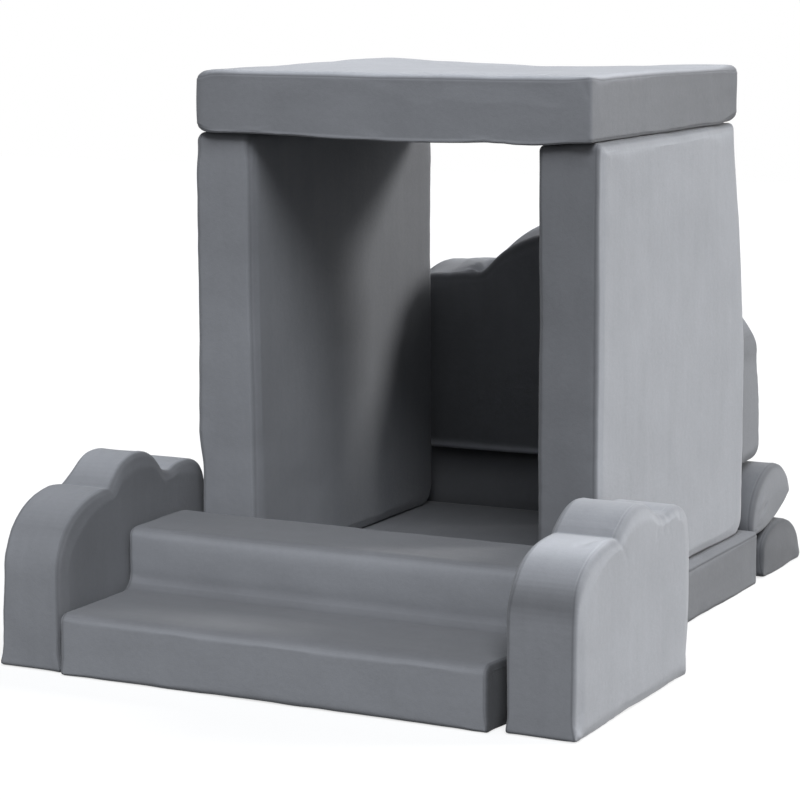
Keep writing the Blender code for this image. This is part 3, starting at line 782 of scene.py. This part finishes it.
def roof_painted_light(local):
    """Painted shade at the right side's rear and the top's left front, and a painted highlight under the
    front edge.
    """
    a, b, t = local.T
    front = smooth(b, -0.306, -0.318)
    painted_lip_highlight = 0.45 * front * bell(t + 0.0468, 0.0018) * smooth(a, 0.33, 0.28)
    left = 0.22 * smooth(-a, 0.25, 0.345) * smooth(t, 0.030, 0.050) * smooth(b, -0.16, -0.30)
    return (1 - 0.18 * smooth(a, 0.335, 0.352) * smooth(b, -0.30, 0.30)) * (1 + painted_lip_highlight) * (1 - left)


def left_wall_painted_shade(local):
    """Painted shade on the upper half of the front edge."""
    a, b, t = local.T
    return 1 - 0.06 * smooth(b, 0.0, 0.20) * smooth(a, -0.315, -0.325)


def left_arm_painted_light(local):
    """Painted shade on the front lobe's top and the inner rear, and painted light on the middle lobe's top.
    """
    a, b, t = local.T
    inner, middle = smooth(t, 0.045, 0.055), smooth(a, 0.145, 0.165)
    top = smooth(b, 0.20, 0.25) * (1 - inner)
    rear = smooth(a, 0.12, 0.35) * inner
    return (1 - 0.10 * top * (1 - middle) + 0.13 * top * middle) * (1 - 0.07 * rear)


def right_arm_painted_light(local):
    """The front lobe's shoulder gets painted shade and its top a painted highlight, against the rest."""
    a, b, t = local.T
    rim, front = smooth(np.abs(t), 0.055, 0.046), smooth(a, 0.165, 0.14)
    shoulder = smooth(b, 0.16, 0.20) * smooth(b, 0.258, 0.235)
    return 1 + rim * (front * (0.28 * smooth(b, 0.250, 0.267) - 0.15 * shoulder) - 0.05 * (1 - front))


def settle_stair(local):
    """The right end's front corner is drawn in, away from the arm beside it."""
    a, b, t = local.T
    half = PLATFORM_W / 2
    draw = 0.016 * smooth(a, 0.13, 0.0) * smooth(t, half - 0.07, half)
    return np.column_stack((a, b, t - draw))


def settle_roof(local):
    """It sags between the walls, more at its front beside the right wall; its left end bulges.

    Nothing sags round its zip, which stays where the part has it.
    """
    a, b, t = local.T
    span = 0.5 + 0.5 * np.cos(math.pi * np.clip((a - 0.03) / 0.31, -1, 1))
    high = smooth(t, -ROOF_T / 2, ROOF_T / 2)
    drop = span * (0.0060 * (1 - high) + 0.0070 * high * smooth(b, -0.15, 0.30))
    drop += 0.0042 * high * smooth(a, -0.34, -0.20) * smooth(b, -0.20, 0.30)
    drop += 0.0048 * (1 - high) * bell(a - 0.252, 0.050) * smooth(b, 0.0, -0.30)
    drop *= 1 - smooth(b, 0.285, 0.315) * smooth(np.abs(t), 0.040, 0.012)
    bulge = 0.0045 * smooth(-a, 0.330, ROOF_W / 2) * (1 - (2 * t / ROOF_T)**2)
    return np.column_stack((a - bulge, b, t - drop))


def settle_lower_bolster(local):
    """The right end swells a little beyond the base."""
    a, b, t = local.T
    swell = smooth(t, BOLSTER_L / 2 - 0.06, BOLSTER_L / 2)
    return np.column_stack((a - 0.006 * swell, b, t + 0.007 * swell))


def settle_backrest(local):
    """The lobes are fuller towards the back, and the right one droops at its shoulder."""
    a, b, t = local.T
    over = smooth(b, 0.20, 0.325)
    middle = smooth(np.abs(a + 0.02), 0.20, 0.10)
    back = smooth(-t, -BACKREST_T / 2, BACKREST_T / 2)
    lift = over * (0.003 + 0.006 * middle + back * (0.015 + 0.004 * middle))
    right = smooth(a, 0.16, 0.33)
    lift = lift * (1 - right) - 0.040 * right * smooth(b, 0.14, 0.30)
    tuck = 0.003 * smooth(a, 0.24, 0.33) * smooth(b, 0.08, 0.22)
    return np.column_stack((a - tuck, b + lift, t))


def settle_left_wall(local):
    """Fuller towards its foot, on its outer side only above the arm beside it."""
    a, b, t = local.T
    foot = 0.0050 * smooth(b, 0.20, -0.30)
    outer = (0.0032 + foot) * smooth(b, -0.20, -0.13) * smooth(-t, 0.015, 0.055)
    inner = foot * smooth(t, 0.015, 0.055) * smooth(a, 0.10, -0.20)
    return np.column_stack((a, b, t - outer + inner))


def settle_right_wall(local):
    """The rear upper corner gives way forwards, most on its outer side; the front's inner top dips."""
    a, b, t = local.T
    pull = 0.056 * np.clip((b + 0.02) / 0.38, 0, 1) * smooth(a, 0.10, WALL_D / 2)
    outer = smooth(t, 0.012, 0.052)
    above = smooth(b, WALL_H / 2 - MARGIN + 0.012, WALL_H / 2 - 0.004)
    share = outer + (1 - outer) * above * 0.85
    b = b - 0.0042 * smooth(-a, 0.18, 0.32) * smooth(-t, -0.030, 0.030) * smooth(b, 0.22, 0.36)
    thinner = 0.006 * smooth(b, 0.1, 0.35) * smooth(a, 0, 0.3) * outer
    return np.column_stack((a - pull * share, b, t - thinner))


def settle_left_arm(local):
    """The middle and rear lobes are narrower on their outer side, which leans in above its foot."""
    a, b, t = local.T
    over, foot = smooth(b, 0.235, 0.295), smooth(b, 0.08, 0.0)
    outer = smooth(-t, -0.02, ARM_T / 2)
    lean = smooth(b, 0.07, 0.15) * smooth(b, 0.25, 0.185)
    inwards = outer * (0.019 * over * smooth(a, 0.135, 0.160) + 0.0055 * lean - 0.0030 * foot)
    lift = 0.004 * smooth(a, 0.16, 0.20) - 0.008 * smooth(a, 0.27, 0.35)
    lift -= 0.003 * outer * smooth(a, 0.148, 0.162) * smooth(a, 0.22, 0.18)
    return np.column_stack((a, b + over * lift, t + inwards))


def settle_right_arm(local):
    """The middle and rear lobes are a little lower, and the rear foot is drawn in."""
    a, b, t = local.T
    over, foot = smooth(b, 0.235, 0.295), smooth(b, 0.08, 0.0)
    rear = foot * smooth(a, 0.40, ARM_L) * smooth(np.abs(t), 0.012, 0.05)
    draw = (0.009 + 0.006 * smooth(b, 0.03, 0)) * rear
    return np.column_stack((a - draw, b - 0.0045 * over * smooth(a, 0.15, 0.18), t))


# The ten modules

def module(name, side, thick, axes, zip_kind, zip_at, zip_side, rolls, margin=MARGIN, crown=(0.003, 0.003),
           tilt=0.0, heart=None, cage=CAGE, **more):
    """Facts of one module: its ring, box and place.

    zip_at is its zip's middle, direction and normal, and zip_side the side that the zip runs along, but
    for a margin at both ends.
    """
    shape, ends = side
    ring = spaced_ring(shape, ends, cage, zip_at[0][:2] if zip_kind == OVER else None)
    c, s = math.cos(math.radians(tilt)), math.sin(math.radians(tilt))
    axes = axes @ np.array(((1, 0, 0), (0, c, s), (0, -s, c)))
    half = thick / 2
    solid = np.vstack([np.column_stack((shape, np.full(len(shape), t))) for t in (-half, half)]) @ axes
    box = np.array([tuple(p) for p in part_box(name + "_cover")])
    origin = box.mean(axis=0) - (solid.min(axis=0) + solid.max(axis=0)) / 2
    origin[2] = max(origin[2], -solid[:, 2].min())
    run = np.cumsum(lengths(steps_round(ring[0])))
    spec = {
        "name": name, "ring": ring, "run": np.concatenate(([0], run[:-1])), "crown": crown, "cage": cage,
        "axes": axes, "origin": origin, "zip": zip_kind, "zip_l": zip_side - 2 * margin,
        "low": (*shape.min(axis=0), -half), "high": (*shape.max(axis=0), half),
        "heart": ring[0].mean(axis=0) if heart is None else heart,
        "seat": [np.array(v, float) for v in zip_at], "rolls": rolls(ring[0]), "folds": FOLDS.get(name, []),
        "fullness": 1.0, "blend": 1.25, "roll_shade": ROLL_SHADE, "stitch": 1.0, "seam_fade": 0.0,
        "settle": None, "shade": None}
    spec.update(more)
    return spec


def bolster(name, front_side, crest, belly, rolls, **more):
    """One half-round bolster; its zip lies on the facet of its rear quarter that faces ZIP_FACES up."""
    rear = arc((-crest, BOLSTER_SIDE), (BOLSTER_W / 2 + crest, BOLSTER_H - BOLSTER_SIDE), 0, 90, 5)
    step = np.diff(rear, axis=0)
    normals = np.column_stack((step[:, 1], -step[:, 0])) / lengths(step)[:, None]
    k = int(np.argmax(normals @ (math.cos(ZIP_FACES), math.sin(ZIP_FACES))))
    seat = (*(rear[k] + rear[k + 1]) / 2, 0), OUT, (*normals[k], 0)
    return module(name, bolster_side(front_side, crest, belly), BOLSTER_L, ALONG_X, OVER, seat, BOLSTER_L,
                  rolls, heart=(0, BOLSTER_H * 0.4), **more)


def wall(side, corners, top_roll, **more):
    """One wall of the house."""
    return module(side + "_wall", slab(WALL_D, WALL_H, corners), WALL_T, ALONG_X, ROUND,
                  ((WALL_D / 2, 0, 0), UP, RIGHT), WALL_H, foot_rolls(0.006, 0.0085, top_roll, 0.66), **more)


def arm(side, outline, top_roll, **more):
    """One of the arms beside the stair; outline holds the powers and the reach that arm_side takes."""
    low, high = CORNER_R, ARM_REAR_TOP - ARM_REAR_R
    return module(side + "_arm", arm_side(*outline), ARM_T, ALONG_X, ROUND,
                  ((ARM_L, (high + low) / 2, 0), UP, RIGHT), high - low,
                  foot_rolls(0.0035, 0.0085, top_roll), SHORT_MARGIN, heart=(ARM_L / 2, ARM_MIDDLE_TOP * 0.4),
                  **more)


# Folds: both ends in a, b and t, the half width and the height, all in millimetres
FRONT_CREASES = [
    (150, 268, 53, 98, 268, 30, 5.0, 2.2), (150, 268, 40, 92, 268, 10, 5.5, -2.2),
    (157, 274, 50, 165, 290, 24, 5.0, 1.8)]
REAR_GATHERS = [
    (a, 274, 52, a + lean, 246 - abs(lean), 59, 3.4, height)
    for a, lean, height in ((292, -12, 1.4), (303, -7, -1.6), (313, -3, 1.8), (323, 0, -2.0), (333, 3, 1.8),
                            (343, 7, -1.4), (354, 12, 1.4))]
FOLDS = {
    "roof": [
        (335, -327, 47, 346, -327, 16, 3.5, -2.2), (326, -327, 44, 340, -327, 12, 4.0, 1.8),
        (-350, -324, -47, 350, -324, -47, 4.5, 1.0)],
    "upper_bolster": [(-60, 28, 366, -30, 40, 372, 5.0, -2.2), (-70, 40, 366, -40, 56, 372, 5.0, 1.4)],
    "backrest": [
        (-176, 333, 50, -212, 336, 30, 5.0, 4.0), (-178, 333, 36, -216, 336, 8, 4.5, -4.0),
        (-178, 333, 24, -206, 336, -12, 5.0, 4.0), (-180, 333, 10, -192, 336, -34, 4.5, -3.2),
        (-320, 4.5, 50, 320, 4.5, 50, 4.0, 2.0)],
    "left_wall": [(-330, 350, 30, -310, 361, 6, 5.0, -1.6), (-331, 345, 44, -331, 325, 20, 5.0, 1.4)],
    "right_wall": [(-331, 346, 46, -331, 352, 6, 5.0, -1.8), (-320, 350, 55, -290, 335, 55, 6.0, 1.4)],
    "left_arm": FRONT_CREASES + [(300, 292, 50, 330, 272, 20, 5.0, -1.4)],
    "right_arm": FRONT_CREASES + REAR_GATHERS + [
        (160, 258, 58, 182, 232, 59, 4.5, -1.2), (152, 254, 58, 146, 222, 59, 4.5, 1.2),
        (372, 279, 50, 376, 258, 59, 4.0, 1.1), (392, 276, 50, 390, 254, 59, 4.0, -1.1),
        (4, 16, 50, 16, 4, 59, 5.0, 2.2)],
}
# The strip and cap tones below are painted light and shade: darker inner faces, base top, treads, stair end
# and bolster ends, lighter tops; strip against caps is partly the nap
MODULES = [
    module("base", slab(PLATFORM_W, BASE_D), BASE_H, ALONG_Z, ROUND, ((0, BASE_D / 2, 0), RIGHT, UP),
           PLATFORM_W, flat_rolls(0.0035, 0.0075), crown=(0, 0.003), seed=11, strip_tones=((0, 0.455),),
           cap_tones=(0.6, 0.42)),
    module("stair", stair_side(), PLATFORM_W, ALONG_X, OVER, ((STAIR_D, BASE_H / 2 + STEP_H, 0), OUT, RIGHT),
           PLATFORM_W, foot_rolls(0.0035, 0.0085, 0.010), heart=(STAIR_D - UPPER_TREAD / 2, STEP_H / 2),
           seed=23, strip_tones=((0, 0.68), (0.35, 0.62), (0.7, 0.49), (1, 0.385)), cap_tones=(1.0, 0.20),
           settle=settle_stair, shade=stair_painted_shade),
    module("roof", slab(ROOF_W, ROOF_D, ROOF_CORNERS), ROOF_T, ALONG_Z, ROUND,
           ((0, ROOF_D / 2, 0), RIGHT, UP), ROOF_W, roof_rolls, crown=(0, 0.0012), seed=37,
           strip_tones=((0, 0.57),), cap_tones=(0.7, 1.07), fullness=0.45, roll_shade=0.12, stitch=0.5,
           settle=settle_roof, shade=roof_painted_light),
    bolster("lower_bolster", LEANT_SIDE, LEANT_CREST, 0, foot_rolls(0.004, 0.010, 0.010), seed=41,
            strip_tones=((0, 0.36),), cap_tones=(0.34, 0.34), settle=settle_lower_bolster),
    bolster("upper_bolster", BOLSTER_SIDE, 0, BOLSTER_BELLY, foot_rolls(0.010, 0.012, 0.012), seed=53,
            strip_tones=((0, 0.44),), cap_tones=(0.61, 0.61), tilt=UPPER_TILT),
    module("backrest", backrest_side(), BACKREST_T, ALONG_Y, FACE,
           ((0, BACKREST_ZIP_UP, -BACKREST_T / 2), RIGHT, (0, 0, -1)), 0.8 * BACKREST_W,
           foot_rolls(0.0085, 0.0090, 0.0110), heart=(0, BACKREST_TOP * 0.4), tilt=BACKREST_LEAN, cage=0.010,
           seed=67, cap_tones=(0.8, 0.58), strip_tones=((0, 0.62), (0.4, 0.8), (0.9, 1.75)),
           settle=settle_backrest, shade=backrest_painted_light),
    wall("left", (CORNER_R, WALL_FOOT_R, WALL_TOP_R, WALL_TOP_R), 0.0150, seed=71, cap_tones=(1.0, 0.6),
         strip_tones=((0, 0.635),), blend=0.9, stitch=0.35, settle=settle_left_wall, shade=left_wall_painted_shade),
    arm("left", (2.12, 2.9, 0.019), 0.0105, seed=131, cap_tones=(1.0, 0.49), blend=0.9, stitch=0.45,
        strip_tones=((0, 0.64), (0.7, 0.53), (1, 0.71)), settle=settle_left_arm, shade=left_arm_painted_light),
    wall("right", (CORNER_R, WALL_FOOT_R, CORNER_R, CORNER_R), 0.0090, seed=91, cap_tones=(0.6, 0.96),
         strip_tones=((0, 0.45),), stitch=0.8, settle=settle_right_wall),
    arm("right", (2.55, 2.3, 0.030), 0.0130, seed=151, cap_tones=(0.6, 0.96), seam_fade=0.75, roll_shade=0.14,
        strip_tones=((0, 0.60), (0.3, 0.42), (0.5, 0.50), (0.7, 0.72), (1, 0.89)), settle=settle_right_arm,
        shade=right_arm_painted_light),
]

covers = []
for spec in MODULES:
    points, faces, across = padded_cage(spec)
    piece = make_mesh(spec["name"] + "_suede", points, faces)
    store(piece.data, "across", across)
    covers.append((piece, spec))
puff(covers)
for piece, spec in covers:
    refine(piece)
    lay_grain(piece, spec, *dress(piece, spec))
    put(piece, spec)
    piece.data.materials.append(GREY_SUEDE)
    name = spec["name"]
    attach(piece, name)
    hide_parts(name + "_cover", name + "_foam_core")
    rim = placket(spec)
    rim.data.materials.append(PLACKET_SUEDE)
    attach(rim, name)
for name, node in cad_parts.items():
    for slot in node.material_slots:
        if name.endswith("_slider"):
            slot.material = ZIP_METAL
        elif name.endswith("_zip"):
            slot.material = ZIP_TAPE


# Floor, light and camera

def emptied(owner):
    """Adder for the emptied node tree of a material or world, and a mask of the rays that meet it.

    The mask is 1 for camera, glossy and transmitted rays, and 0 for bounced light.
    """
    owner.use_nodes = True
    owner.node_tree.nodes.clear()
    add, calc = nodes_of(owner.node_tree)
    path = add("ShaderNodeLightPath").outputs
    either = calc("MAXIMUM", path["Is Camera Ray"], path["Is Glossy Ray"])
    return add, calc("MAXIMUM", either, path["Is Transmission Ray"])


def floor():
    """Wide pale floor: near white to the camera, darker to bounced light, with the object's shadow."""
    span = FLOOR_REACH * np.array(((-1, -1, 0), (1, -1, 0), (1, 1, 0), (-1, 1, 0)))
    plane = make_mesh("floor", span, np.array(((0, 1, 2, 3),)))
    material = bpy.data.materials.new("pale_floor")
    add, seen = emptied(material)
    pale = add("ShaderNodeBsdfDiffuse", {"Color": (1, 1, 1, 1)})
    glow = add("ShaderNodeEmission", {"Color": (1, 1, 1, 1), "Strength": 1.0})
    bright = add("ShaderNodeMixShader", {0: 0.30, 1: glow.outputs[0], 2: pale.outputs[0]})
    dim = add("ShaderNodeBsdfDiffuse", {"Color": (0.22, 0.22, 0.22, 1)})
    both = add("ShaderNodeMixShader", {0: seen, 1: dim.outputs[0], 2: bright.outputs[0]})
    add("ShaderNodeOutputMaterial", {"Surface": both.outputs[0]})
    plane.data.materials.append(material)


def sun(name, towards, strength, width, color):
    """Soft distant lamp that shines from the direction towards; width is its spread in degrees."""
    lamp = bpy.data.lights.new(name, "SUN")
    lamp.energy, lamp.angle, lamp.color = strength, math.radians(width), color
    stand(lamp, Vector(towards).to_track_quat("Z", "Y").to_matrix().to_4x4())


def sky(ambient):
    """World that is white to the camera and to reflections, and only a faint fill to the rest."""
    world = bpy.data.worlds.new("studio")
    bpy.context.scene.world = world
    add, seen = emptied(world)
    faint = add("ShaderNodeBackground", {"Color": (0.96, 0.98, 1.0, 1), "Strength": ambient})
    white = add("ShaderNodeBackground", {"Color": (1, 1, 1, 1), "Strength": 1.0})
    both = add("ShaderNodeMixShader", {0: seen, 1: faint.outputs[0], 2: white.outputs[0]})
    add("ShaderNodeOutputWorld", {"Surface": both.outputs[0]})


def camera(place, yaw, pitch, roll, focal):
    """Camera turned left by yaw, down by pitch and about its own axis by roll, in radians.

    focal is the focal length as a share of the picture's width.
    """
    lens = bpy.data.cameras.new("camera")
    lens.sensor_width, lens.lens = SENSOR, focal * SENSOR
    matrix = Matrix.Translation(place)
    for angle, axis in ((yaw, "Z"), (math.pi / 2 - pitch, "X"), (roll, "Z")):
        matrix = matrix @ Matrix.Rotation(angle, 4, axis)
    bpy.context.scene.camera = stand(lens, matrix)


floor()
sun("front_light", (0.27, -0.52, 0.81), math.pi * 0.945, 34, (0.97, 1.0, 1.04))
sun("side_light", (0.80, 0.48, 0.39), math.pi * 0.54, 12, (1.01, 1.0, 0.98))
sun("back_light", (0.25, 0.88, 0.40), math.pi * 0.32, 50, (1.0, 1.0, 1.0))
sky(ambient=0.16)
camera((1.9811, -4.09895, 1.0934), yaw=0.4741, pitch=0.1583, roll=-0.0035, focal=2718.9 / 800)
bpy.context.scene.view_settings.view_transform = "Standard"
